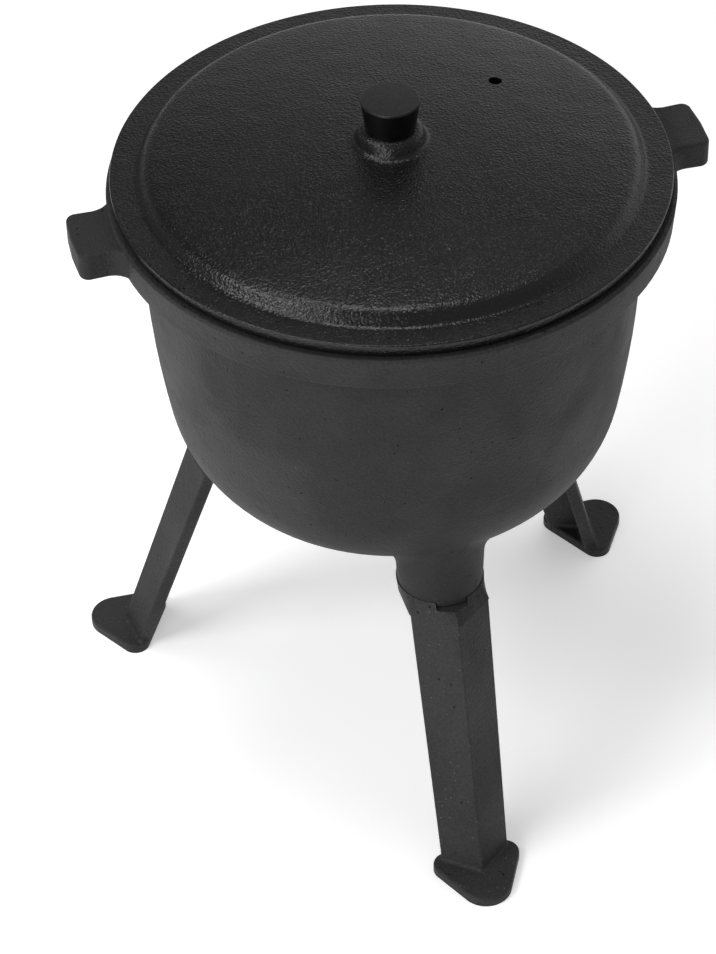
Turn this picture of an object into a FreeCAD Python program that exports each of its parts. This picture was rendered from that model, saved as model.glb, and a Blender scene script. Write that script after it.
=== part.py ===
"""Three-legged cast iron cooking pot: a round-bottomed pot with two ears, a domed loose lid
with a turned knob, and three cast legs bolted under bosses in the pot's bottom.

Millimetres, +Z up. The front leg points along -Y and the ears lie on +X and -X.
The origin is on the floor, below the middle of the whole pot's box.
"""
import math
import os

import FreeCAD
import Part
from FreeCAD import Vector

# Pot: heights above the floor, radii from the pot's own axis
rim_height = 351.0
rim_radius = 142.6
rim_draft = 1.4              # the band is this much narrower at its lower edge
band_height = 17.6
rim_edge_radius = 1.5
band_edge_radius = 0.8
band_root_radius = 6.0
rim_land = 8.6               # from the rim's outer edge in to the rebate for the lid's lip
rebate_depth = 11.0
wall = 5.0
belly_inset = 16.05          # the bowl at its widest, inside the rim
belly_height = 319.7
bowl_bottom = 156.1
side_arc = 606.5             # the bowl's profile is three arcs, each tangent to the next
shoulder_arc = 65.3
dome_arc = 222.0

# Ears
ear_length = 21.0            # past the rim
ear_half_width = 18.4
ear_thickness = 15.5
ear_drop = 0.6               # ear's top face below the rim's top face
ear_flare = 0.5
ear_bow = 1.0                # the middle of the ear's end stands out by this much
ear_bow_radius = 40.0
ear_root_radius = 11.0
ear_corner_radius = 5.0
ear_edge_radius = 2.0

# Bosses under the bowl, with the lug that keeps a leg from turning
leg_count = 3
boss_inset = 42.85           # a boss's middle, inside the bowl's widest radius
boss_radius = 22.5
boss_bottom = 153.9
boss_draft_angle = 2.0
boss_root_radius = 9.0
lug_width = 15.2
lug_length = 9.0
lug_height = 2.3
lug_side_clearance = 1.1
lug_end_clearance = 1.0

# Legs: an angle section with its ridge outwards, leaning out towards the foot
leg_lean = 0.32              # outward travel for each millimetre of drop
leg_root_reach = 11.9         # the ridge at the collar's underside, past the boss's round face
flange_depth = 14.5          # from the ridge back to the flanges' outer corners
flange_half_width = 18.75
flange_thickness = 7.1
leg_widening = 0.15          # the section is this much larger at the collar
leg_edge_radius = 1.2
collar_thickness = 8.4
collar_lip = 0.5             # the collar stands out past the boss by this much
foot_toe = 18.3              # from the ridge at floor level out to the foot's tip
foot_heel = 20.7             # and back to the foot's heel
foot_tip_radius = 14.0
foot_half_width = 23.7
foot_corner_radius = 7.9
foot_thickness = 5.3
foot_edge_radius = 1.2
foot_root_radius = 2.0

# Leg bolts and washers
bolt_radius = 4.0
bolt_engagement = 11.0
bolt_hole_spare = 2.5
bolt_head_across_flats = 13.0
bolt_head_height = 5.3
bolt_hole_clearance = 0.3
washer_radius = 9.0
washer_thickness = 1.6

# Lid
lid_margin = 2.6             # the lid's edge, inside the rim
lid_edge_height = 7.6
lid_edge_draft = 1.2
lid_edge_radius = 1.8
lid_seat_edge_radius = 1.3
flange_width = 14.2          # flat ring round the raised panel
step_height = 6.6
step_run = 2.6
step_top_radius = 4.0
step_root_radius = 1.8
panel_rise = 9.2             # from the step's top to the lid's middle
lid_wall = 5.0
lip_clearance = 0.8
lip_thickness = 5.5
lip_depth = 8.0
pad_radius = 17.2
pad_top_radius = 14.4
pad_height = 8.0
pad_edge_radius = 2.5
vent_radius = 3.5
vent_offset = 74.5
vent_angle = 29.0            # from +X, seen from above

# Knob and its screw
knob_foot_radius = 12.2
knob_radius = 14.3
knob_height = 16.0
knob_rim_height = 1.6
knob_edge_radius = 0.8
screw_radius = 3.0
screw_engagement = 9.0
screw_hole_spare = 2.0
screw_head_radius = 5.5
screw_head_height = 3.6
screw_hole_clearance = 0.3
knob_washer_radius = 8.0
knob_washer_thickness = 1.2

# Radii that follow from the rim
rebate_radius = rim_radius - rim_land
lid_radius = rim_radius - lid_margin
belly_radius = rim_radius - belly_inset
boss_offset = belly_radius - boss_inset


def flat_vector(point):
    """Point (across, up) of a profile, placed in the XZ plane."""
    return Vector(point[0], 0.0, point[1])


def plan_vector(point):
    """Point (x, y) of a plan outline, at floor level."""
    return Vector(point[0], point[1], 0.0)


def line(start, end, place):
    """Straight edge between two 2-D points."""
    return Part.LineSegment(place(start), place(end)).toShape()


def arc_about(centre, start, end, place):
    """Shorter arc round a centre from one 2-D point to another."""
    spoke = [start[i] + end[i] - 2.0 * centre[i] for i in (0, 1)]
    radius = math.dist(centre, start)
    reach = math.hypot(*spoke)
    middle = [centre[i] + spoke[i] * radius / reach for i in (0, 1)]
    return Part.Arc(place(start), place(middle), place(end)).toShape()


def rounded_path(corners, place, closed=False):
    """Edges through corners (x, y, radius), each corner rounded by its own radius."""
    count = len(corners)
    turns = []
    for index, (x, y, radius) in enumerate(corners):
        if radius == 0.0:
            turns.append(((x, y), (x, y), None))
            continue
        before = corners[index - 1]
        after = corners[(index + 1) % count]
        into = Vector(before[0] - x, before[1] - y, 0.0).normalize()
        away = Vector(after[0] - x, after[1] - y, 0.0).normalize()
        half = into.getAngle(away) / 2.0
        setback = radius / math.tan(half)
        to_centre = (into + away).normalize() * (radius / math.sin(half))
        start = (x + into.x * setback, y + into.y * setback)
        end = (x + away.x * setback, y + away.y * setback)
        turns.append((start, end, (x + to_centre.x, y + to_centre.y)))
    edges = []
    for index, (start, end, centre) in enumerate(turns):
        if centre is not None:
            edges.append(arc_about(centre, start, end, place))
        following = index + 1
        if following == count:
            if not closed:
                break
            following = 0
        if math.dist(end, turns[following][0]) > 1e-6:
            edges.append(line(end, turns[following][0], place))
    return edges


def hull_outline(circles):
    """Closed outline drawn tight round circles (x, y, radius), listed anticlockwise."""
    normals = []
    for index, (x, y, radius) in enumerate(circles):
        next_x, next_y, next_radius = circles[(index + 1) % len(circles)]
        gap = math.hypot(next_x - x, next_y - y)
        heading = math.atan2(next_y - y, next_x - x)
        normals.append(heading - math.acos((radius - next_radius) / gap))
    edges = []
    for index, (x, y, radius) in enumerate(circles):
        next_x, next_y, next_radius = circles[(index + 1) % len(circles)]
        first, last = normals[index - 1], normals[index]
        start = (x + radius * math.cos(first), y + radius * math.sin(first))
        end = (x + radius * math.cos(last), y + radius * math.sin(last))
        edges.append(arc_about((x, y), start, end, plan_vector))
        reach = (next_x + next_radius * math.cos(last), next_y + next_radius * math.sin(last))
        edges.append(line(end, reach, plan_vector))
    return edges


def turned(edges):
    """Solid of revolution about the Z axis from the edges of a closed profile."""
    profile = Part.Face(Part.Wire(Part.__sortEdges__(edges)))
    return profile.revolve(Vector(0, 0, 0), Vector(0, 0, 1), 360.0)


def prism(edges, low, high):
    """Upright prism between two heights over a closed plan outline."""
    outline = Part.Face(Part.Wire(Part.__sortEdges__(edges)))
    outline.translate(Vector(0, 0, low))
    return outline.extrude(Vector(0, 0, high - low))


def cylinder(radius, low, high, x=0.0, y=0.0):
    """Upright cylinder between two heights."""
    return Part.makeCylinder(radius, high - low, Vector(x, y, low))


def round_edges(solid, radius, chosen):
    """Solid with every edge that the test picks rounded."""
    edges = [edge for edge in solid.Edges if chosen(edge)]
    return solid.makeFillet(radius, edges)


def leg_angle(index):
    """Direction of one leg about the pot's axis; the first one points to the front."""
    return -90.0 + index * 360.0 / leg_count


def turned_to(shape, angle):
    """Copy of a shape turned about the pot's axis."""
    copy = shape.copy()
    copy.rotate(Vector(0, 0, 0), Vector(0, 0, 1), angle)
    return copy


class Bowl:
    """Three-arc profile of the bowl, at any depth inside its outer face."""

    side_centre = (belly_radius - side_arc, belly_height)
    dome_centre = (0.0, bowl_bottom + dome_arc)

    def __init__(self, inset):
        self.side = side_arc - inset
        self.shoulder = shoulder_arc - inset
        self.dome = dome_arc - inset
        self.belly = belly_radius - inset
        self.bottom = bowl_bottom + inset
        self.centre = self.shoulder_centre()
        self.side_end = self.touch(self.side_centre)
        self.dome_end = self.touch(self.dome_centre)

    def shoulder_centre(self):
        """Centre of the shoulder arc, which touches both of the other arcs from inside."""
        to_side = side_arc - shoulder_arc
        to_dome = dome_arc - shoulder_arc
        across = self.dome_centre[0] - self.side_centre[0]
        up = self.dome_centre[1] - self.side_centre[1]
        gap = math.hypot(across, up)
        along = (to_side ** 2 - to_dome ** 2 + gap ** 2) / (2.0 * gap)
        aside = math.sqrt(to_side ** 2 - along ** 2)
        return (self.side_centre[0] + (along * across + aside * up) / gap,
                self.side_centre[1] + (along * up - aside * across) / gap)

    def touch(self, other):
        """Point where the shoulder arc meets the arc about another centre."""
        gap = math.dist(self.centre, other)
        return tuple(self.centre[i] + (self.centre[i] - other[i]) * self.shoulder / gap
                     for i in (0, 1))

    def edges(self):
        """Profile edges from the belly down to the middle of the bottom."""
        top = (self.belly, belly_height)
        return [
            arc_about(self.side_centre, top, self.side_end, flat_vector),
            arc_about(self.centre, self.side_end, self.dome_end, flat_vector),
            arc_about(self.dome_centre, self.dome_end, (0.0, self.bottom), flat_vector),
        ]


def pot_shell():
    """Bowl, stepped rim and rebate for the lid, turned in one piece."""
    outer = Bowl(0.0)
    inner = Bowl(wall)
    band_bottom = rim_height - band_height
    ledge = rim_height - rebate_depth
    rim = rounded_path([
        (outer.belly, belly_height, 0.0),
        (outer.belly, band_bottom, band_root_radius),
        (rim_radius - rim_draft, band_bottom, band_edge_radius),
        (rim_radius, rim_height, rim_edge_radius),
        (rebate_radius, rim_height, rim_edge_radius / 2.0),
        (rebate_radius, ledge, rim_edge_radius),
        (inner.belly, ledge, rim_edge_radius),
        (inner.belly, belly_height, 0.0),
    ], flat_vector)
    middle = line((0.0, outer.bottom), (0.0, inner.bottom), flat_vector)
    return turned(outer.edges() + rim + inner.edges() + [middle])


def ear():
    """Flat cast ear on +X with concave roots into the band and softened edges."""
    band_radius = rim_radius - rim_draft
    reach = rim_radius + ear_length
    neck = ear_half_width - ear_flare
    root_y = neck + ear_root_radius
    root_x = math.sqrt((band_radius + ear_root_radius) ** 2 - root_y ** 2)
    on_band = tuple(c * band_radius / (band_radius + ear_root_radius) for c in (root_x, root_y))
    inner_radius = (rebate_radius + band_radius) / 2.0
    inside = tuple(c * inner_radius / band_radius for c in on_band)
    tip = rounded_path([
        (root_x, -neck, 0.0),
        (reach - ear_bow, -ear_half_width, ear_corner_radius),
        (reach, 0.0, ear_bow_radius),
        (reach - ear_bow, ear_half_width, ear_corner_radius),
        (root_x, neck, 0.0),
    ], plan_vector)
    sides = []
    for sign in (-1.0, 1.0):
        root = (root_x, sign * root_y)
        foot = (on_band[0], sign * on_band[1])
        hidden = (inside[0], sign * inside[1])
        sides.append(arc_about(root, (root_x, sign * neck), foot, plan_vector))
        sides.append(line(foot, hidden, plan_vector))
    below = (inside[0], -inside[1])
    sides.append(arc_about((0.0, 0.0), below, inside, plan_vector))
    top = rim_height - ear_drop
    tab = prism(tip + sides, top - ear_thickness, top)

    def outside(edge):
        box = edge.BoundBox
        return box.ZLength < 1e-6 and box.XMax > band_radius and box.XMin > inside[0] + 1e-3
    return round_edges(tab, ear_edge_radius, outside)


def boss():
    """Tapered round boss that reaches up into the bowl's wall, placed on +X."""
    height = belly_height - boss_bottom - wall
    spread = height * math.tan(math.radians(boss_draft_angle))
    cone = Part.makeCone(boss_radius, boss_radius + spread, height,
                         Vector(boss_offset, 0.0, boss_bottom))
    inside = turned(Bowl(wall / 2.0).edges() + [
        line((0.0, bowl_bottom + wall / 2.0), (0.0, belly_height), flat_vector),
        line((0.0, belly_height), (belly_radius - wall / 2.0, belly_height), flat_vector),
    ])
    return cone.cut(inside)


def boss_lug():
    """Low key under the outer edge of a boss, which stops its leg from turning."""
    outer = boss_offset + boss_radius
    box = Part.makeBox(lug_length + boss_radius, lug_width, lug_height,
                       Vector(outer - lug_length, -lug_width / 2.0, boss_bottom - lug_height))
    return box.common(cylinder(boss_radius, boss_bottom - lug_height, boss_bottom, boss_offset))


def pot_body():
    """The pot as cast: bowl and rim, two ears, three bosses with their lugs and holes."""
    bossed = pot_shell().fuse([turned_to(boss(), leg_angle(i)) for i in range(leg_count)])

    def boss_root(edge):
        """Edges where a boss runs out into the bowl's outer face."""
        middle = edge.valueAt((edge.FirstParameter + edge.LastParameter) / 2.0)
        for index in range(leg_count):
            angle = math.radians(leg_angle(index))
            away = math.hypot(middle.x - boss_offset * math.cos(angle),
                              middle.y - boss_offset * math.sin(angle))
            near = boss_radius + 1e-3 < away < boss_radius * 1.5
            if near and middle.z > boss_bottom + 1.0 and len(edge.Vertexes) > 0:
                faces = bossed.ancestorsOfType(edge, Part.Face)
                cones = [face for face in faces if isinstance(face.Surface, Part.Cone)]
                if len(cones) == 1:
                    return True
        return False

    body = round_edges(bossed, boss_root_radius, boss_root)
    hole_top = boss_bottom + bolt_engagement + bolt_hole_spare
    hole = cylinder(bolt_radius, boss_bottom, hole_top, boss_offset)
    lugs = [turned_to(boss_lug(), leg_angle(i)) for i in range(leg_count)]
    ears = [turned_to(ear(), angle) for angle in (0.0, 180.0)]
    body = body.fuse(ears + lugs)
    return body.cut([turned_to(hole, leg_angle(i)) for i in range(leg_count)]).removeSplitter()


def ridge_reach(height):
    """Distance of a leg's ridge from the pot's axis at one height."""
    root = boss_offset + boss_radius + leg_root_reach
    return root + leg_lean * (boss_bottom - collar_thickness - height)


class LegSection:
    """Angle section of a leg in plan, at one height; u points outwards from the pot's axis."""

    def __init__(self, height):
        grown = 1.0 + leg_widening * height / (boss_bottom - collar_thickness)
        self.height = height
        self.ridge = ridge_reach(height)
        self.depth = flange_depth * grown
        self.half = flange_half_width * grown
        slant = math.hypot(self.depth, self.half)
        self.normal = (self.half / slant, self.depth / slant)

    def tip(self):
        """Outer corner of the flange on the +v side."""
        return (self.ridge - self.depth, self.half)

    def inner_tip(self):
        """Inner corner of the flange on the +v side."""
        outer = self.tip()
        return tuple(outer[i] - flange_thickness * self.normal[i] for i in (0, 1))

    def wire(self):
        """Closed outline of the section, at its height."""
        throat = self.ridge - flange_thickness / self.normal[0]
        tip, inner = self.tip(), self.inner_tip()
        points = [(self.ridge, 0.0), tip, inner, (throat, 0.0),
                  (inner[0], -inner[1]), (tip[0], -tip[1])]
        corners = [Vector(u, v, self.height) for u, v in points]
        return Part.makePolygon(corners + corners[:1])


def leg_collar():
    """Collar from the boss's round face out to the leg's angle section."""
    low = boss_bottom - collar_thickness
    section = LegSection(low)
    tip_u, tip_v = section.tip()
    tip_turn = math.degrees(math.atan2(tip_v, tip_u - boss_offset))
    top_radius = boss_radius + collar_lip
    back_radius = boss_radius - collar_lip

    def on_circle(turn, radius, height):
        angle = math.radians(turn)
        return Vector(boss_offset + radius * math.cos(angle), radius * math.sin(angle), height)

    turns = [0.0, tip_turn, 90.0, 180.0, 270.0, 360.0 - tip_turn, 360.0]
    ridge = Vector(section.ridge, 0.0, low)
    below = [ridge, Vector(tip_u, tip_v, low)]
    below += [on_circle(turn, back_radius, low) for turn in (90.0, 180.0, 270.0)]
    below += [Vector(tip_u, -tip_v, low), ridge]
    upper, lower = [], []
    for index in range(len(turns) - 1):
        middle = (turns[index] + turns[index + 1]) / 2.0
        marks = [on_circle(turn, top_radius, boss_bottom)
                 for turn in (turns[index], middle, turns[index + 1])]
        upper.append(Part.Arc(*marks).toShape())
        start, end = below[index], below[index + 1]
        if 90.0 < middle < 270.0:
            mark = on_circle(middle, back_radius, low)
            lower.append(Part.Arc(start, mark, end).toShape())
        else:
            lower.append(Part.LineSegment(start, end).toShape())
    return Part.makeLoft([Part.Wire(lower), Part.Wire(upper)], True, True)


def foot():
    """Flat three-cornered foot plate with its rounded point outwards."""
    ridge = ridge_reach(0.0)
    tip = (ridge + foot_toe - foot_tip_radius, 0.0, foot_tip_radius)
    heel_u = ridge - foot_heel + foot_corner_radius
    heel_v = foot_half_width - foot_corner_radius
    outline = hull_outline([
        tip,
        (heel_u, heel_v, foot_corner_radius),
        (heel_u, -heel_v, foot_corner_radius),
    ])
    plate = prism(outline, 0.0, foot_thickness)

    def upper(edge):
        return edge.BoundBox.ZMin > foot_thickness - 1e-6
    return round_edges(plate, foot_edge_radius, upper)


def leg():
    """One leg as cast, on +X: collar, leaning angle section and foot plate."""
    low = boss_bottom - collar_thickness
    start = LegSection(foot_thickness / 2.0)
    end = LegSection(low)
    post = Part.makeLoft([start.wire(), end.wire()], True, True)

    def upright(edge):
        return edge.BoundBox.ZLength > foot_thickness
    post = round_edges(post, leg_edge_radius, upright)
    footed = post.fuse(foot())

    def foot_root(edge):
        box = edge.BoundBox
        level = abs(box.ZMin - foot_thickness) < 1e-4 and box.ZLength < 1e-4
        if not level:
            return False
        faces = footed.ancestorsOfType(edge, Part.Face)
        return any(face.BoundBox.ZMax > foot_thickness + 10.0 for face in faces)
    casting = round_edges(footed, foot_root_radius, foot_root).fuse(leg_collar())

    notch_u = boss_offset + boss_radius - lug_length - lug_end_clearance
    notch_width = lug_width + 2.0 * lug_side_clearance
    notch_depth = lug_height + lug_end_clearance
    notch = Part.makeBox(ridge_reach(0.0), notch_width, notch_depth,
                         Vector(notch_u, -notch_width / 2.0, boss_bottom - notch_depth))
    hole = cylinder(bolt_radius + bolt_hole_clearance, low - 1.0, boss_bottom + 1.0, boss_offset)
    return casting.cut([notch, hole]).removeSplitter()


def leg_washer():
    """Plain washer under a leg's collar, on +X."""
    top = boss_bottom - collar_thickness
    disc = cylinder(washer_radius, top - washer_thickness, top, boss_offset)
    hole = cylinder(bolt_radius + bolt_hole_clearance, top - washer_thickness, top, boss_offset)
    return disc.cut(hole)


def leg_bolt():
    """Hexagon bolt that holds a leg to its boss from below, on +X."""
    head_top = boss_bottom - collar_thickness - washer_thickness
    across_corners = bolt_head_across_flats / math.cos(math.radians(30.0))
    corners = [(boss_offset + across_corners / 2.0 * math.cos(math.radians(60.0 * k)),
                across_corners / 2.0 * math.sin(math.radians(60.0 * k)), 0.0) for k in range(6)]
    head = prism(rounded_path(corners, plan_vector, closed=True),
                 head_top - bolt_head_height, head_top)
    shank = cylinder(bolt_radius, head_top, boss_bottom + bolt_engagement, boss_offset)
    return head.fuse(shank).removeSplitter()


def lid_heights():
    """Heights of the lid's flat ring, of its step's top and of its middle."""
    ring = rim_height + lid_edge_height
    step = ring + step_height
    return ring, step, step + panel_rise


def lid_body():
    """The lid as cast: ring, step, domed panel, knob pad and locating lip, with its holes."""
    ring, step, crown = lid_heights()
    step_radius = lid_radius - flange_width
    panel_radius = step_radius - step_run
    lip_outer = rebate_radius - lip_clearance
    lip_inner = lip_outer - lip_thickness
    pad_top = crown + pad_height
    dome = (panel_radius ** 2 + panel_rise ** 2) / (2.0 * panel_rise)
    dome_centre = (0.0, crown - dome)

    def on_dome(across, inset):
        radius = dome - inset
        return (across, dome_centre[1] + math.sqrt(radius ** 2 - across ** 2))

    pad_foot = on_dome(pad_radius + pad_edge_radius, 0.0)
    panel_end = on_dome(panel_radius - step_top_radius, 0.0)
    outside = rounded_path([
        (0.0, pad_top, 0.0),
        (pad_top_radius, pad_top, pad_edge_radius),
        (pad_radius, pad_foot[1], pad_edge_radius),
        (pad_foot[0], pad_foot[1], 0.0),
    ], flat_vector)
    outside.append(arc_about(dome_centre, pad_foot, panel_end, flat_vector))
    edge = rounded_path([
        (panel_end[0], panel_end[1], 0.0),
        (panel_radius, step, step_top_radius),
        (step_radius, ring, step_root_radius),
        (lid_radius, ring, lid_edge_radius),
        (lid_radius - lid_edge_draft, rim_height, lid_seat_edge_radius),
        (lip_outer, rim_height, 0.0),
        (lip_outer, rim_height - lip_depth, 1.0),
        (lip_inner, rim_height - lip_depth, 1.0),
        (lip_inner, ring - lid_wall, 1.0),
        (step_radius - lid_wall, ring - lid_wall, 1.0),
        on_dome(panel_radius - lid_wall, lid_wall) + (0.0,),
    ], flat_vector)
    seat = crown - lid_wall - 0.1
    inner_end = on_dome(panel_radius - lid_wall, lid_wall)
    seat_edge = on_dome(knob_washer_radius + 3.0, lid_wall)
    underside = [
        arc_about(dome_centre, inner_end, seat_edge, flat_vector),
        line(seat_edge, (seat_edge[0], seat), flat_vector),
        line((seat_edge[0], seat), (0.0, seat), flat_vector),
        line((0.0, seat), (0.0, pad_top), flat_vector),
    ]
    casting = turned(outside + edge + underside)
    vent = cylinder(vent_radius, rim_height, pad_top,
                    vent_offset * math.cos(math.radians(vent_angle)),
                    vent_offset * math.sin(math.radians(vent_angle)))
    hole = cylinder(screw_radius + screw_hole_clearance, rim_height, pad_top)
    return casting.cut([vent, hole]).removeSplitter(), seat, pad_top


def lid_knob(pad_top):
    """Turned knob, wider at its top, with a blind hole for the screw."""
    top = pad_top + knob_height
    knob = turned(rounded_path([
        (0.0, pad_top, 0.0),
        (knob_foot_radius, pad_top, 0.0),
        (knob_radius, top - knob_rim_height, 0.0),
        (knob_radius - knob_rim_height / 4.0, top, knob_edge_radius),
        (0.0, top, 0.0),
    ], flat_vector, closed=True))
    hole_top = pad_top + screw_engagement + screw_hole_spare
    return knob.cut(cylinder(screw_radius, pad_top, hole_top))


def knob_washer(seat):
    """Plain washer between the screw's head and the lid's underside."""
    low = seat - knob_washer_thickness
    disc = cylinder(knob_washer_radius, low, seat)
    return disc.cut(cylinder(screw_radius + screw_hole_clearance, low, seat))


def knob_screw(seat, pad_top):
    """Pan-head screw through the lid into the knob."""
    head_top = seat - knob_washer_thickness
    head = cylinder(screw_head_radius, head_top - screw_head_height, head_top)

    def lower(edge):
        return edge.BoundBox.ZMax < head_top - screw_head_height + 1e-6
    head = round_edges(head, screw_head_height / 3.0, lower)
    return head.fuse(cylinder(screw_radius, head_top, pad_top + screw_engagement))


def build():
    """All pieces by name, with the box of the whole pot centred over the origin."""
    lid, seat, pad_top = lid_body()
    pieces = {
        "pot_body": pot_body(),
        "lid": lid,
        "lid_knob": lid_knob(pad_top),
        "knob_washer": knob_washer(seat),
        "knob_screw": knob_screw(seat, pad_top),
    }
    casting = leg()
    for index, name in enumerate(("leg_front", "leg_right", "leg_left")):
        pieces[name] = turned_to(casting, leg_angle(index))
    for name, single in (("leg_bolts", leg_bolt()), ("leg_washers", leg_washer())):
        pieces[name] = Part.makeCompound(
            [turned_to(single, leg_angle(i)) for i in range(leg_count)])
    box = Part.makeCompound(list(pieces.values())).optimalBoundingBox(False, False)
    shift = Vector(-box.Center.x, -box.Center.y, 0.0)
    for shape in pieces.values():
        shape.translate(shift)
    return pieces


os.makedirs("parts", exist_ok=True)
for node, shape in build().items():
    shape.exportStep(f"parts/{node}.step")
    print(node, len(shape.Solids), shape.isValid(), round(shape.Volume), shape.BoundBox)
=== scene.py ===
"""Looks of the three-legged cast iron cooking pot, round its CAD model.

Metres, +Z up. The front leg points along -Y and the ears lie on +X and -X.
"""
import logging
import math
from dataclasses import dataclass, field
from enum import Enum

import bpy
from mathutils import Matrix, Vector


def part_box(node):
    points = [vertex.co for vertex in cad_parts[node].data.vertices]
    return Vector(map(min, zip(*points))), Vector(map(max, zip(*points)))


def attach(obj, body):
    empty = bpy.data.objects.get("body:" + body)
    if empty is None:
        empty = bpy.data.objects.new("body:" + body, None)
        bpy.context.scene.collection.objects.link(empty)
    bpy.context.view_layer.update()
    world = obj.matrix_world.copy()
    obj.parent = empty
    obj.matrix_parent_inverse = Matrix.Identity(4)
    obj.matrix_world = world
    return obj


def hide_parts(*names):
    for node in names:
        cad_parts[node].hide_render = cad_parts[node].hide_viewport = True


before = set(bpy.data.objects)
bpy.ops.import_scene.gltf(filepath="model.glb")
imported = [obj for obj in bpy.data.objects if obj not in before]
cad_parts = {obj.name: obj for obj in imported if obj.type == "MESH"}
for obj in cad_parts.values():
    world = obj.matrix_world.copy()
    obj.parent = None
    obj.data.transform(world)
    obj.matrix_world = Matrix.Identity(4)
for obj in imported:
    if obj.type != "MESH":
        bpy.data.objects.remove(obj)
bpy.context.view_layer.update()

LOG = logging.getLogger("pot")
MM = 0.001
SHARPEST_SMOOTH_EDGE = math.radians(33.0)
ARC_STEP = math.radians(11.0)
MERGE_DISTANCE = 0.002 * MM


def axis_of(node: str) -> Vector:
    """Point on the floor below the middle of a round CAD node.

    Args:
        node: Name of the CAD node.

    Returns:
        The point, with height 0.
    """
    low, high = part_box(node)
    return Vector((0.5 * (low.x + high.x), 0.5 * (low.y + high.y), 0.0))


class Nodes:
    """Short way to add and link the nodes of one tree."""

    def __init__(self, tree: bpy.types.NodeTree) -> None:
        """Start on an emptied tree.

        Args:
            tree: Node tree of a material, a world or a group.
        """
        self.tree = tree
        tree.nodes.clear()

    def add(self, kind: str, inputs: dict | None = None, **settings) -> bpy.types.Node:
        """Add one node.

        Args:
            kind: Type name of the node, without its ShaderNode prefix unless it is a group's own.
            inputs: Socket name or number to a plain value or to a socket that is linked there.
            settings: Properties of the node.

        Returns:
            The new node.
        """
        name = kind if kind.startswith("NodeGroup") else "ShaderNode" + kind
        node = self.tree.nodes.new(name)
        for key, value in settings.items():
            setattr(node, key, value)
        self.feed(node, inputs or {})
        return node

    def add_group(self, group: bpy.types.NodeTree, inputs: dict) -> bpy.types.Node:
        """Add one node of a shared group.

        Args:
            group: The group.
            inputs: Socket name to a plain value or to a socket that is linked there.

        Returns:
            The new node.
        """
        node = self.tree.nodes.new("ShaderNodeGroup")
        node.node_tree = group
        self.feed(node, inputs)
        return node

    def feed(self, node: bpy.types.Node, inputs: dict) -> None:
        """Set or link a node's inputs.

        Args:
            node: The node.
            inputs: Socket name or number to a plain value or to a socket that is linked there.
        """
        for key, value in inputs.items():
            if isinstance(value, bpy.types.NodeSocket):
                self.tree.links.new(value, node.inputs[key])
            else:
                node.inputs[key].default_value = value

    def math(self, operation: str, first, second=0.0) -> bpy.types.NodeSocket:
        """Result of one Math node.

        Args:
            operation: The node's operation.
            first: Value or socket.
            second: Value or socket, unused by an operation on one value.

        Returns:
            Socket with the result.
        """
        return self.add("Math", {0: first, 1: second}, operation=operation).outputs[0]

    def ramp(self, value, start: float, stop: float, low: float, high: float) -> bpy.types.NodeSocket:
        """Value carried smoothly from one range to another and clamped there.

        Args:
            value: Socket that is read.
            start: Reading at which the result is low.
            stop: Reading at which the result is high.
            low: Result at the start.
            high: Result at the stop.

        Returns:
            Socket with the result.
        """
        return self.add("MapRange", {"Value": value, "From Min": start, "From Max": stop, "To Min": low,
                                     "To Max": high}, interpolation_type="SMOOTHSTEP").outputs[0]

    def mix(self, share, first, second) -> bpy.types.NodeSocket:
        """Colour between two colours.

        Args:
            share: 0 for the first and 1 for the second, a value or a socket.
            first: Colour or socket.
            second: Colour or socket.

        Returns:
            Socket with the colour.
        """
        node = self.add("Mix", {0: share, 6: first, 7: second}, data_type="RGBA")
        return node.outputs[2]

    def dot(self, first, second) -> bpy.types.NodeSocket:
        """Dot product of two vectors: how far one unit vector leans to the other.

        Args:
            first: Vector or socket.
            second: Vector or socket.

        Returns:
            Socket with the product.
        """
        return self.add("VectorMath", {0: first, 1: second}, operation="DOT_PRODUCT").outputs["Value"]


def grey(level: float, warmth: float = 0.0) -> tuple[float, float, float, float]:
    """Nearly neutral colour.

    Args:
        level: Linear brightness.
        warmth: Share by which red is raised and blue lowered.

    Returns:
        Colour with full alpha.
    """
    return (level * (1.0 + warmth), level, level * (1.0 - warmth), 1.0)


def new_group(name: str, inputs: dict[str, tuple[str, float | None]], outputs: dict[str, str]
              ) -> tuple[bpy.types.NodeTree, Nodes, bpy.types.Node]:
    """Empty shader node group with its sockets.

    Args:
        name: Group's name.
        inputs: Socket name to its kind and its default value.
        outputs: Socket name to its kind.

    Returns:
        The group, a helper on its tree, and its input node.
    """
    group = bpy.data.node_groups.new(name, "ShaderNodeTree")
    for label, (kind, value) in inputs.items():
        socket = group.interface.new_socket(label, in_out="INPUT", socket_type="NodeSocket" + kind)
        if value is not None:
            socket.default_value = value
    for label, kind in outputs.items():
        group.interface.new_socket(label, in_out="OUTPUT", socket_type="NodeSocket" + kind)
    nodes = Nodes(group)
    return group, nodes, nodes.add("NodeGroupInput")


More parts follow.
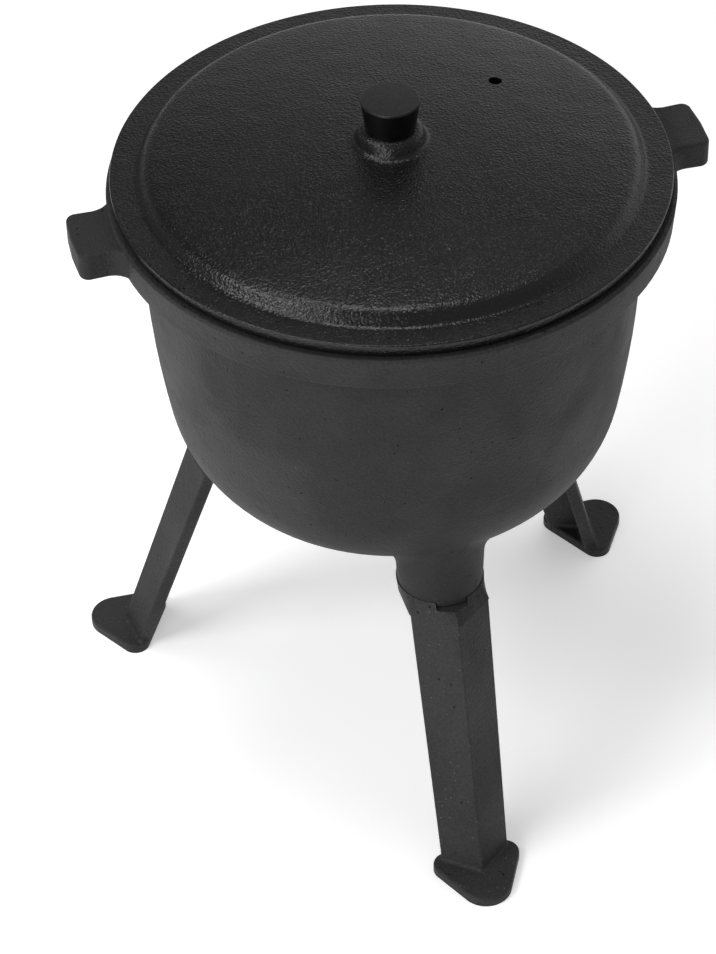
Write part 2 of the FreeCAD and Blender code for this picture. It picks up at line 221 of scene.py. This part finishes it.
@dataclass(frozen=True)
class SandSkin:
    """Skin that a sand mould leaves: rounded grains, small pits, bright specks and a slow change of tone.

    Scales are in patterns per metre, and reaches in shares of a pattern's cell.
    """

    cell_scale: float = 0.8       # of the rounded grains, against the fine ones
    cell_smoothness: float = 0.8
    swell_scale: float = 60.0
    swell_share: float = 0.8      # height of the swell against the grains'
    dust_span: tuple[float, float] = (0.3, 0.7)
    tone_scale: float = 16.0
    tone_span: tuple[float, float] = (0.32, 0.68)
    pit_scale: float = 190.0
    pit_rarity: float = 0.62      # share of the cells without a pit
    pit_reach: tuple[float, float] = (0.02, 0.13)
    pit_depth: float = 1.6        # against the grains' height
    speck_scale: float = 700.0
    speck_rarity: float = 0.95
    speck_reach: tuple[float, float] = (0.1, 0.3)

    def group(self) -> bpy.types.NodeTree:
        """Make the shared group.

        Returns:
            Group with the inputs Vector, Grain and Roundness, and the outputs Height, Tone, Dust, Pits
            and Specks.
        """
        group, nodes, given = new_group(
            "sand_skin",
            {"Vector": ("Vector", None), "Grain": ("Float", 1.0 * MM), "Roundness": ("Float", 0.5)},
            {"Height": "Float", "Tone": "Float", "Dust": "Float", "Pits": "Float", "Specks": "Float"})
        where = given.outputs["Vector"]
        across = nodes.math("DIVIDE", 1.0, given.outputs["Grain"])
        scaled = nodes.add("VectorMath", {0: where, "Scale": across}, operation="SCALE").outputs[0]
        fine = nodes.add("TexNoise", {"Vector": scaled, "Scale": 1.0, "Detail": 2.0,
                                      "Roughness": 0.6}).outputs[0]
        cells = nodes.add("TexVoronoi", {"Vector": scaled, "Scale": self.cell_scale,
                                         "Smoothness": self.cell_smoothness},
                          feature="SMOOTH_F1").outputs["Distance"]
        grains = nodes.add("Mix", {0: given.outputs["Roundness"], 2: fine, 3: cells}).outputs[0]
        swell = nodes.add("TexNoise", {"Vector": where, "Scale": self.swell_scale,
                                       "Detail": 1.0}).outputs[0]
        height = nodes.math("ADD", grains, nodes.math("MULTIPLY", swell, self.swell_share))
        dust = nodes.ramp(fine, *self.dust_span, 0.0, 1.0)

        tone = nodes.add("TexNoise", {"Vector": where, "Scale": self.tone_scale, "Detail": 4.0,
                                      "Roughness": 0.6}).outputs[0]
        spread = nodes.ramp(tone, *self.tone_span, 0.0, 1.0)

        pits = self.scatter(nodes, where, self.pit_scale, 0, self.pit_rarity, self.pit_reach)
        specks = self.scatter(nodes, where, self.speck_scale, 1, self.speck_rarity, self.speck_reach)

        deep = nodes.math("SUBTRACT", height, nodes.math("MULTIPLY", pits, self.pit_depth))
        nodes.add("NodeGroupOutput", {"Height": deep, "Tone": spread, "Dust": dust, "Pits": pits,
                                      "Specks": specks})
        return group

    @staticmethod
    def scatter(nodes: Nodes, where: bpy.types.NodeSocket, scale: float, channel: int, rarity: float,
                reach: tuple[float, float]) -> bpy.types.NodeSocket:
        """Spots strewn at random.

        Args:
            nodes: Helper on the group's tree.
            where: Socket with the place.
            scale: Cells per metre.
            channel: Channel of the cell's random colour that picks the cells.
            rarity: Share of the cells without a spot.
            reach: Distances from the cell's point at which the spot is full and is over.

        Returns:
            Socket that is 1 in a spot and 0 outside.
        """
        cells = nodes.add("TexVoronoi", {"Vector": where, "Scale": scale})
        chance = nodes.add("SeparateColor", {0: cells.outputs["Color"]}).outputs[channel]
        picked = nodes.math("GREATER_THAN", chance, rarity)
        return nodes.math("MULTIPLY", picked, nodes.ramp(cells.outputs["Distance"], *reach, 1.0, 0.0))


@dataclass(frozen=True)
class PaintedEdgeHighlight:
    """Painted highlight on edges: colour made lighter where a corner's softened direction leaves the
    surface's own.
    """

    samples: int = 4
    agreement: tuple[float, float] = (0.985, 0.86)    # of the directions, where the painted highlight starts and is full

    def group(self) -> bpy.types.NodeTree:
        """Make the shared group.

        Returns:
            Group with the input Radius and the output Edge, which is 0 on a flat face and 1 on an edge.
        """
        group, nodes, given = new_group("painted_edge_highlight", {"Radius": ("Float", 0.8 * MM)}, {"Edge": "Float"})
        soft = nodes.add("Bevel", {"Radius": given.outputs["Radius"]}, samples=self.samples).outputs[0]
        own = nodes.add("NewGeometry").outputs["Normal"]
        agree = nodes.dot(soft, own)
        nodes.add("NodeGroupOutput", {"Edge": nodes.ramp(agree, *self.agreement, 0.0, 1.0)})
        return group


@dataclass(frozen=True)
class CastIron:
    """Blackened iron as it comes from a sand mould."""

    name: str
    level: float = 0.0135         # linear brightness of the black
    lift: float = 0.25            # how much lighter the light patches are
    dust: float = 0.7             # and how much the single grains differ
    grain: float = 1.2 * MM
    roundness: float = 0.4
    depth: float = 0.55 * MM      # height of the grains
    rough_low: float = 0.52
    rough_high: float = 0.64
    speck_level: float = 0.05
    edge_highlight_level: float = 0.09      # brightness of the painted highlight on edges
    edge_width: float = 0.8 * MM
    specular: float = 0.22
    pit_shade_share: float = 0.3        # painted shade: brightness in a pit, against level

    def material(self, skin: bpy.types.NodeTree, edge_highlight: bpy.types.NodeTree) -> bpy.types.Material:
        """Material of this finish.

        Args:
            skin: The shared sand-skin group.
            edge_highlight: The shared group of the painted edge highlight.

        Returns:
            The new material.
        """
        made = bpy.data.materials.new(self.name)
        made.use_nodes = True
        nodes = Nodes(made.node_tree)
        where = nodes.add("TexCoord").outputs["Object"]
        sand = nodes.add_group(skin, {"Vector": where, "Grain": self.grain, "Roundness": self.roundness})
        calm = nodes.mix(sand.outputs["Tone"], grey(self.level), grey(self.level * (1.0 + self.lift)))
        lively = nodes.mix(sand.outputs["Tone"], grey(self.level * (1.0 + self.dust)),
                           grey(self.level * (1.0 + self.lift + self.dust)))
        tone = nodes.mix(sand.outputs["Dust"], calm, lively)
        specked = nodes.mix(sand.outputs["Specks"], tone, grey(self.speck_level))
        # Painted highlight: edges are made lighter in colour, in the spots of the dust pattern.
        edge = nodes.add_group(edge_highlight, {"Radius": self.edge_width})
        share = nodes.math("MULTIPLY", edge.outputs["Edge"], sand.outputs["Dust"])
        edge_lit = nodes.mix(share, specked, grey(self.edge_highlight_level))
        # Painted shade in the pits: darker colour there, and no gloss.
        pit_shaded = nodes.mix(sand.outputs["Pits"], edge_lit, grey(self.level * self.pit_shade_share))
        rough = nodes.ramp(sand.outputs["Tone"], 0.0, 1.0, self.rough_high, self.rough_low)
        gloss = nodes.ramp(sand.outputs["Pits"], 0.0, 1.0, self.specular, 0.0)
        bump = nodes.add("Bump", {"Height": sand.outputs["Height"], "Distance": self.depth})
        shader = nodes.add("BsdfPrincipled", {
            "Base Color": pit_shaded, "Roughness": rough, "Normal": bump.outputs[0],
            "Specular IOR Level": gloss})
        nodes.add("OutputMaterial", {"Surface": shader.outputs[0]})
        return made


@dataclass(frozen=True)
class TurnedBlack:
    """Smooth satin black of the turned knob, with faint lathe rings and a painted sheen on what faces up.
    """

    name: str = "turned_black"
    level: float = 0.0008
    top_sheen_level: float = 0.02      # painted sheen on what faces up
    ring: float = 0.35 * MM
    depth: float = 0.004 * MM

    def material(self, axis: Vector) -> bpy.types.Material:
        """Material of this finish.

        Args:
            axis: Point on the axis that the rings run round.

        Returns:
            The new material.
        """
        made = bpy.data.materials.new(self.name)
        made.use_nodes = True
        nodes = Nodes(made.node_tree)
        where = nodes.add("TexCoord").outputs["Object"]
        centred = nodes.add("Mapping", {"Vector": where, "Location": (-axis.x, -axis.y, 0.0)}).outputs[0]
        parts = nodes.add("SeparateXYZ", {0: centred})
        flat = nodes.add("CombineXYZ", {0: parts.outputs[0], 1: parts.outputs[1]}).outputs[0]
        radius = nodes.add("VectorMath", {0: flat}, operation="LENGTH").outputs["Value"]
        turns = nodes.math("SINE", nodes.math("MULTIPLY", radius, math.tau / self.ring))
        cloud = nodes.add("TexNoise", {"Vector": where, "Scale": 210.0, "Detail": 4.0}).outputs[0]
        # Fine noise for the bump and for the spots of the painted sheen.
        dust = nodes.add("TexNoise", {"Vector": where, "Scale": 1400.0, "Detail": 2.0}).outputs[0]
        height = nodes.math("ADD", nodes.math("MULTIPLY", turns, 0.35), nodes.math("MULTIPLY", dust, 2.0))
        bump = nodes.add("Bump", {"Height": height, "Distance": self.depth})
        clean = nodes.mix(cloud, grey(self.level * 0.8), grey(self.level * 1.3))
        # Painted sheen: faces that point up are painted lighter, in the spots of the fine noise.
        rise = nodes.add("SeparateXYZ", {0: nodes.add("NewGeometry").outputs["Normal"]}).outputs[2]
        upward = nodes.ramp(rise, 0.6, 0.95, 0.0, 1.0)
        painted_top_sheen = nodes.math("MULTIPLY", upward, nodes.ramp(dust, 0.35, 0.75, 0.2, 1.0))
        colour = nodes.mix(painted_top_sheen, clean, grey(self.top_sheen_level))
        rough = nodes.ramp(cloud, 0.3, 0.7, 0.34, 0.42)
        shader = nodes.add("BsdfPrincipled", {"Base Color": colour, "Roughness": rough,
                                              "Normal": bump.outputs[0], "Specular IOR Level": 0.3})
        nodes.add("OutputMaterial", {"Surface": shader.outputs[0]})
        return made


@dataclass(frozen=True)
class DarkZinc:
    """Dark zinc plating of the bolts, washers and screw."""

    name: str = "dark_zinc"
    level: float = 0.22
    depth: float = 0.02 * MM

    def material(self) -> bpy.types.Material:
        """Material of this finish.

        Returns:
            The new material.
        """
        made = bpy.data.materials.new(self.name)
        made.use_nodes = True
        nodes = Nodes(made.node_tree)
        where = nodes.add("TexCoord").outputs["Object"]
        blotch = nodes.add("TexNoise", {"Vector": where, "Scale": 260.0, "Detail": 4.0}).outputs[0]
        scratch = nodes.add("TexNoise", {"Vector": where, "Scale": 2600.0, "Detail": 2.0}).outputs[0]
        colour = nodes.mix(blotch, grey(self.level * 0.6, 0.02), grey(self.level * 1.2, -0.01))
        rough = nodes.ramp(blotch, 0.3, 0.7, 0.32, 0.5)
        bump = nodes.add("Bump", {"Height": scratch, "Distance": self.depth})
        shader = nodes.add("BsdfPrincipled", {"Base Color": colour, "Roughness": rough, "Metallic": 1.0,
                                              "Normal": bump.outputs[0]})
        nodes.add("OutputMaterial", {"Surface": shader.outputs[0]})
        return made


class Casting(Enum):
    """The sand-cast pieces' finishes."""

    POT = CastIron("pot_cast_iron")
    LID = CastIron("lid_cast_iron", level=0.003, grain=1.1 * MM, roundness=0.45, depth=0.5 * MM,
                   rough_low=0.2, rough_high=0.3, edge_highlight_level=0.06, specular=0.33)
    LEG = CastIron("leg_cast_iron", level=0.019, grain=1.3 * MM, depth=0.6 * MM, speck_level=0.14,
                   edge_highlight_level=0.1)


def rounded_chain(corners: list[tuple[float, float, float]]) -> list[tuple[float, float]]:
    """Points of a profile whose corners are rounded by arcs.

    Args:
        corners: Radius, height and rounding radius of each corner.

    Returns:
        Radius and height of each point, in order.
    """
    points: list[tuple[float, float]] = []
    last = len(corners) - 1
    for index, (across, up, rounding) in enumerate(corners):
        here = Vector((across, up))
        if rounding == 0.0 or index in (0, last):
            points.append((across, up))
            continue
        into = (Vector(corners[index - 1][:2]) - here).normalized()
        away = (Vector(corners[index + 1][:2]) - here).normalized()
        half = into.angle(away) / 2.0
        setback = rounding / math.tan(half)
        centre = here + (into + away).normalized() * (rounding / math.sin(half))
        start = here + into * setback - centre
        end = here + away * setback - centre
        sweep = start.angle_signed(end)
        count = max(2, math.ceil(abs(sweep) / ARC_STEP))
        for step in range(count + 1):
            angle = -sweep * step / count
            spoke = Vector((start.x * math.cos(angle) - start.y * math.sin(angle),
                            start.x * math.sin(angle) + start.y * math.cos(angle)))
            points.append(tuple(centre + spoke))
    return points


def turned_piece(name: str, chain: list[tuple[float, float]], axis: Vector, steps: int
                 ) -> bpy.types.Object:
    """Piece turned about an upright axis from a profile drawn point by point.

    Args:
        name: Name of the new object.
        chain: Radius and height of each profile point in millimetres.
        axis: Point on the axis.
        steps: Divisions round the axis.

    Returns:
        The new object, at the origin, with its faces pointing outwards.
    """
    places = [Vector((axis.x + across * MM, axis.y, up * MM)) for across, up in chain]
    bpy.ops.object.select_all(action="DESELECT")
    bpy.ops.mesh.primitive_plane_add(size=MM, location=places[0])
    piece = bpy.context.active_object
    piece.name = name
    bpy.ops.object.transform_apply(location=True, rotation=True, scale=True)
    bpy.ops.object.mode_set(mode="EDIT")
    bpy.ops.mesh.select_mode(type="VERT")
    bpy.ops.mesh.select_all(action="SELECT")
    bpy.ops.mesh.merge(type="CENTER")
    for before, after in zip(places, places[1:]):
        bpy.ops.mesh.extrude_region_move(TRANSFORM_OT_translate={"value": after - before})
    bpy.ops.mesh.select_all(action="SELECT")
    bpy.ops.mesh.spin(steps=steps, angle=math.tau, center=axis, axis=(0.0, 0.0, 1.0))
    bpy.ops.mesh.select_all(action="SELECT")
    bpy.ops.mesh.remove_doubles(threshold=MERGE_DISTANCE)
    bpy.ops.mesh.normals_make_consistent(inside=False)
    bpy.ops.object.mode_set(mode="OBJECT")
    return piece


def soften(piece: bpy.types.Object) -> None:
    """Shade a piece smooth, except at its sharp edges.

    Args:
        piece: Object that is shaded.
    """
    bpy.ops.object.select_all(action="DESELECT")
    piece.select_set(True)
    bpy.context.view_layer.objects.active = piece
    bpy.ops.object.shade_smooth_by_angle(angle=SHARPEST_SMOOTH_EDGE)


def stand_in(piece: bpy.types.Object, node: str, material: bpy.types.Material) -> None:
    """Let a finished piece stand for a CAD node.

    Args:
        piece: The finished piece.
        node: CAD node that it replaces.
        material: Finish that it gets.
    """
    piece.data.materials.clear()
    piece.data.materials.append(material)
    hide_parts(node)
    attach(piece, "root")
    LOG.info("%s stands for %s, with %d faces", piece.name, node, len(piece.data.polygons))


def dress(node: str, material: bpy.types.Material) -> None:
    """Give a CAD node its material in every slot.

    Args:
        node: Name of the CAD node.
        material: Finish that it gets.
    """
    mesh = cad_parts[node].data
    for index in range(len(mesh.materials)):
        mesh.materials[index] = material
    LOG.info("%s dressed in %s", node, material.name)


@dataclass
class PotCasting:
    """The pot itself."""

    nodes: tuple[str, ...] = ("pot_body",)

    def dress(self, skin: bpy.types.NodeTree, edge_highlight: bpy.types.NodeTree) -> None:
        """Give the casting its iron.

        Args:
            skin: The shared sand-skin group.
            edge_highlight: The shared group of the painted edge highlight.
        """
        iron = Casting.POT.value.material(skin, edge_highlight)
        for node in self.nodes:
            dress(node, iron)


@dataclass
class LidAssembly:
    """Lid with its knob, washer and screw. Sizes in millimetres, heights above the floor."""

    seat_height: float = 351.0    # top face of the pot's rim
    edge_round: float = 0.9       # of the ring's outer edge
    seat_round: float = 0.5       # of the edge below it
    inner_round: float = 1.0      # of the corners inside
    ring_height: float = 358.6
    step_height: float = 365.2
    crown_height: float = 374.4
    pad_height: float = 382.4
    lid_radius: float = 140.4
    edge_draft: float = 1.8
    ring_width: float = 13.6
    step_run: float = 4.8
    step_top: float = 8.0         # width of the panel that its shoulder's rounding takes
    step_top_round: float = 7.6
    step_root_round: float = 3.4
    pad_radius: float = 18.2
    pad_top_radius: float = 15.6
    pad_top_round: float = 4.2
    pad_root_round: float = 3.2
    pad_foot_reach: float = 2.0   # how far out the panel's height is read for the pad's root
    pad_skirt: float = 6.0        # width of the pad's root on the panel
    dome_spans: int = 16          # straight spans of the domed panel's profile
    drill_length: float = 40.0
    wall: float = 5.0
    lip_outer: float = 133.2
    lip_inner: float = 127.7
    lip_bottom: float = 343.0
    seat_radius: float = 11.0     # flat below the panel for the washer
    seat_depth: float = 0.1
    screw_hole: float = 3.3
    vent_radius: float = 3.5
    vent_offset: float = 74.5
    vent_angle: float = 29.0      # degrees from +X
    vent_sides: int = 40
    lid_steps: int = 256          # divisions round the axis
    knob_steps: int = 96
    knob_foot: float = 12.6
    knob_radius: float = 14.7
    knob_height: float = 398.4
    knob_rim_height: float = 1.0
    knob_rim_draft: float = 0.25
    knob_round: float = 0.4
    knob_rim_round: float = 0.3
    knob_hole: float = 3.0
    knob_hole_top: float = 393.4

    def on_dome(self, across: float, inset: float) -> tuple[float, float]:
        """Point of the domed panel's profile.

        Args:
            across: Its radius.
            inset: Depth below the outer face.

        Returns:
            Radius and height.
        """
        edge = self.lid_radius - self.ring_width - self.step_run
        rise = self.crown_height - self.step_height
        dome = (edge ** 2 + rise ** 2) / (2.0 * rise)
        return across, self.crown_height - dome + math.sqrt((dome - inset) ** 2 - across ** 2)

    def build_lid(self) -> bpy.types.Object:
        """Turn the lid and cut its vent.

        Returns:
            The finished lid.
        """
        step = self.lid_radius - self.ring_width
        edge = step - self.step_run
        pad_foot = self.on_dome(self.pad_radius + self.pad_foot_reach, 0.0)
        dome_start = self.pad_radius + self.pad_skirt
        dome_end = edge - self.step_top
        chain = rounded_chain([
            (self.screw_hole, self.pad_height, 0.0),
            (self.pad_top_radius, self.pad_height, self.pad_top_round),
            (self.pad_radius, pad_foot[1], self.pad_root_round),
            self.on_dome(dome_start, 0.0) + (0.0,),
        ])
        for index in range(1, self.dome_spans):
            share = index / self.dome_spans
            chain.append(self.on_dome(dome_start * (1.0 - share) + dome_end * share, 0.0))
        chain += rounded_chain([
            self.on_dome(dome_end, 0.0) + (0.0,),
            (edge, self.step_height, self.step_top_round),
            (step, self.ring_height, self.step_root_round),
            (self.lid_radius, self.ring_height, self.edge_round),
            (self.lid_radius - self.edge_draft, self.seat_height, self.seat_round),
            (self.lip_outer, self.seat_height, 0.0),
            (self.lip_outer, self.lip_bottom, self.inner_round),
            (self.lip_inner, self.lip_bottom, self.inner_round),
            (self.lip_inner, self.ring_height - self.wall, self.inner_round),
            (step - self.wall, self.ring_height - self.wall, self.inner_round),
            self.on_dome(edge - self.wall, self.wall) + (0.0,),
        ])
        inner_end = edge - self.wall
        for index in range(1, self.dome_spans + 1):
            share = index / self.dome_spans
            chain.append(self.on_dome(inner_end * (1.0 - share) + self.seat_radius * share, self.wall))
        seat = self.crown_height - self.wall - self.seat_depth
        chain += [(self.seat_radius, seat), (self.screw_hole, seat), (self.screw_hole, self.pad_height)]
        axis = axis_of("lid_knob")
        lid = turned_piece("lid_casting", chain, axis, steps=self.lid_steps)
        self.cut_vent(lid, axis)
        soften(lid)
        return lid

    def cut_vent(self, lid: bpy.types.Object, axis: Vector) -> None:
        """Drill the steam vent.

        Args:
            lid: The turned lid.
            axis: Point on its axis.
        """
        turn = math.radians(self.vent_angle)
        bpy.ops.object.select_all(action="DESELECT")
        bpy.ops.mesh.primitive_cylinder_add(
            vertices=self.vent_sides, radius=self.vent_radius * MM, depth=self.drill_length * MM,
            location=(axis.x + self.vent_offset * MM * math.cos(turn),
                      axis.y + self.vent_offset * MM * math.sin(turn), self.crown_height * MM))
        drill = bpy.context.active_object
        bpy.ops.object.select_all(action="DESELECT")
        lid.select_set(True)
        bpy.context.view_layer.objects.active = lid
        cut = lid.modifiers.new("vent", "BOOLEAN")
        cut.operation = "DIFFERENCE"
        cut.solver = "EXACT"
        cut.object = drill
        bpy.ops.object.modifier_apply(modifier=cut.name)
        bpy.data.objects.remove(drill, do_unlink=True)

    def build_knob(self) -> bpy.types.Object:
        """Turn the knob, wider at its top, with its blind hole for the screw.

        Returns:
            The finished knob.
        """
        profile = rounded_chain([
            (0.0, self.knob_height, 0.0),
            (self.knob_radius - self.knob_rim_draft, self.knob_height, self.knob_round),
            (self.knob_radius, self.knob_height - self.knob_rim_height, self.knob_rim_round),
            (self.knob_foot, self.pad_height, self.knob_round),
            (self.knob_hole, self.pad_height, 0.0),
            (self.knob_hole, self.knob_hole_top, 0.0),
            (0.0, self.knob_hole_top, 0.0),
        ])
        knob = turned_piece("turned_knob", profile, axis_of("lid_knob"), steps=self.knob_steps)
        soften(knob)
        return knob

    def dress(self, skin: bpy.types.NodeTree, edge_highlight: bpy.types.NodeTree, zinc: bpy.types.Material) -> None:
        """Give the lid its iron, the knob its black and the hardware its zinc.

        Args:
            skin: The shared sand-skin group.
            edge_highlight: The shared group of the painted edge highlight.
            zinc: Finish of the washer and the screw.
        """
        stand_in(self.build_lid(), "lid", Casting.LID.value.material(skin, edge_highlight))
        stand_in(self.build_knob(), "lid_knob", TurnedBlack().material(axis_of("lid_knob")))
        for node in ("knob_washer", "knob_screw"):
            dress(node, zinc)


@dataclass
class LegSet:
    """Three cast legs with their bolts and washers."""

    nodes: tuple[str, ...] = ("leg_front", "leg_right", "leg_left")

    def dress(self, skin: bpy.types.NodeTree, edge_highlight: bpy.types.NodeTree, zinc: bpy.types.Material) -> None:
        """Give the legs their iron and the hardware its zinc.

        Args:
            skin: The shared sand-skin group.
            edge_highlight: The shared group of the painted edge highlight.
            zinc: Finish of the bolts and the washers.
        """
        iron = Casting.LEG.value.material(skin, edge_highlight)
        for node in self.nodes:
            dress(node, iron)
        for node in ("leg_bolts", "leg_washers"):
            dress(node, zinc)


@dataclass(frozen=True)
class PhotoCamera:
    """Camera at the photograph's viewpoint, worked out round the lid's own axis."""

    focal_pixels: float = 3306.0
    long_side_pixels: float = 954.0
    sensor: float = 36.0
    reach: float = 1.3167         # from the lid's axis, along the floor
    height: float = 1.3534
    pitch: float = math.radians(-42.462)
    roll: float = math.radians(-1.461)
    yaw: float = math.radians(0.888)
    pot_turn: float = math.radians(15.35)

    def place(self) -> bpy.types.Object:
        """Make the camera and set it as the scene's own.

        Returns:
            The camera object.
        """
        data = bpy.data.cameras.new("camera")
        data.sensor_width = self.sensor
        data.lens = self.focal_pixels * self.sensor / self.long_side_pixels
        camera = bpy.data.objects.new("camera", data)
        bpy.context.scene.collection.objects.link(camera)
        forward = Vector((-math.sin(self.yaw) * math.cos(self.pitch),
                          math.cos(self.yaw) * math.cos(self.pitch), math.sin(self.pitch)))
        level = Vector((math.cos(self.yaw), math.sin(self.yaw), 0.0))
        up = level.cross(forward)
        right = math.cos(self.roll) * level + math.sin(self.roll) * up
        top = -math.sin(self.roll) * level + math.cos(self.roll) * up
        aim = Matrix((right, top, -forward)).transposed().to_4x4()
        seat = Matrix.Translation(Vector((0.0, -self.reach, self.height)))
        turn = Matrix.Translation(axis_of("lid_knob")) @ Matrix.Rotation(-self.pot_turn, 4, "Z")
        camera.matrix_world = turn @ seat @ aim
        bpy.context.scene.camera = camera
        return camera


@dataclass(frozen=True)
class SoftBox:
    """One square area lamp that points at the pot."""

    name: str
    place: tuple[float, float, float]
    side: float
    watts: float
    target: tuple[float, float, float] = (0.0, 0.02, 0.25)

    def light(self) -> None:
        """Add the lamp."""
        data = bpy.data.lights.new(self.name, "AREA")
        data.size = self.side
        data.energy = self.watts
        lamp = bpy.data.objects.new(self.name, data)
        bpy.context.scene.collection.objects.link(lamp)
        toward = Vector(self.target) - Vector(self.place)
        lamp.location = self.place
        lamp.rotation_euler = toward.to_track_quat("-Z", "Y").to_euler()


@dataclass
class Studio:
    """Pale floor, soft lamps and a white surround that is darker overhead."""

    floor_side: float = 12.0
    floor_bounce: float = 0.6     # how pale the floor is to the pot
    floor_shade: float = 0.95     # share of the floor's look that the lamps make
    floor_white: float = 0.32     # the rest, which keeps it white
    horizon: float = 0.95
    dark_side: float = 0.12       # overhead, to the camera's left
    bright_side: float = 0.42     # overhead, to the camera's right
    right: tuple[float, float, float] = (0.966, -0.26, 0.0)      # the camera's right, over the floor
    away: tuple[float, float, float] = (0.265, 0.964, 0.0)       # and the way that it looks
    near_level: float = 0.35      # of the surround low down, on the camera's side
    left_level: float = 0.28      # and beyond the pot to the left
    far_span: tuple[float, float] = (-0.5, 0.3)        # lean to the right, from left_level to horizon
    depth_span: tuple[float, float] = (-0.35, 0.45)    # lean away, from near_level to the far side's
    overhead_span: tuple[float, float] = (-0.4, 0.4)   # lean to the right, from dark_side to bright_side
    rise_span: tuple[float, float] = (0.3, 0.72)       # rise from the low surround to the one overhead
    lamps: tuple[SoftBox, ...] = field(default_factory=lambda: (
        SoftBox("left_box", (-1.3, -0.32, 1.5), 0.7, 15.0),
        SoftBox("low_box", (-1.0, -1.25, 0.6), 0.8, 9.0),
        SoftBox("top_box", (-0.2, 0.2, 2.4), 0.8, 17.0),
    ))

    def lay_floor(self) -> None:
        """Lay the floor with a material that keeps the pot's shadow on white."""
        bpy.ops.object.select_all(action="DESELECT")
        bpy.ops.mesh.primitive_plane_add(size=self.floor_side, location=(0.0, 0.0, 0.0))
        floor = bpy.context.active_object
        floor.name = "studio_floor"
        made = bpy.data.materials.new("studio_floor")
        made.use_nodes = True
        nodes = Nodes(made.node_tree)
        bounce = nodes.add("BsdfDiffuse", {"Color": grey(self.floor_bounce)}).outputs[0]
        shade = nodes.add("BsdfDiffuse", {"Color": grey(self.floor_shade)}).outputs[0]
        white = nodes.add("Emission", {"Color": grey(1.0), "Strength": self.floor_white}).outputs[0]
        seen = nodes.add("AddShader", {0: shade, 1: white}).outputs[0]
        path = nodes.add("LightPath")
        in_sight = nodes.math("MAXIMUM", path.outputs["Is Camera Ray"], path.outputs["Is Glossy Ray"])
        surface = nodes.add("MixShader", {0: in_sight, 1: bounce, 2: seen}).outputs[0]
        nodes.add("OutputMaterial", {"Surface": surface})
        floor.data.materials.append(made)

    def surround(self) -> None:
        """Light the world: white at the horizon and to the camera, dimmer overhead."""
        world = bpy.data.worlds.new("studio")
        world.use_nodes = True
        bpy.context.scene.world = world
        nodes = Nodes(world.node_tree)
        direction = nodes.add("TexCoord").outputs["Generated"]
        rise = nodes.add("SeparateXYZ", {0: direction}).outputs[2]
        aside = nodes.dot(direction, self.right)
        beyond = nodes.dot(direction, self.away)
        far = nodes.ramp(aside, *self.far_span, self.left_level, self.horizon)
        low = nodes.ramp(beyond, *self.depth_span, self.near_level, far)
        overhead = nodes.ramp(aside, *self.overhead_span, self.dark_side, self.bright_side)
        share = nodes.ramp(rise, *self.rise_span, 0.0, 1.0)
        level = nodes.add("Mix", {0: share, 2: low, 3: overhead}).outputs[0]
        camera_ray = nodes.add("LightPath").outputs["Is Camera Ray"]
        strength = nodes.math("MAXIMUM", level, camera_ray)
        back = nodes.add("Background", {"Color": grey(1.0), "Strength": strength})
        nodes.add("OutputWorld", {"Surface": back.outputs[0]})

    def build(self) -> None:
        """Floor, surround and lamps."""
        self.lay_floor()
        self.surround()
        for lamp in self.lamps:
            lamp.light()
        bpy.context.scene.view_settings.view_transform = "Standard"


def main() -> None:
    """Build the studio, dress the pot and set the camera."""
    logging.basicConfig(level=logging.INFO, format="%(message)s")
    PhotoCamera().place()
    Studio().build()
    skin = SandSkin().group()
    edge_highlight = PaintedEdgeHighlight().group()
    zinc = DarkZinc().material()
    PotCasting().dress(skin, edge_highlight)
    LidAssembly().dress(skin, edge_highlight, zinc)
    LegSet().dress(skin, edge_highlight, zinc)


if __name__ == "__main__":
    main()
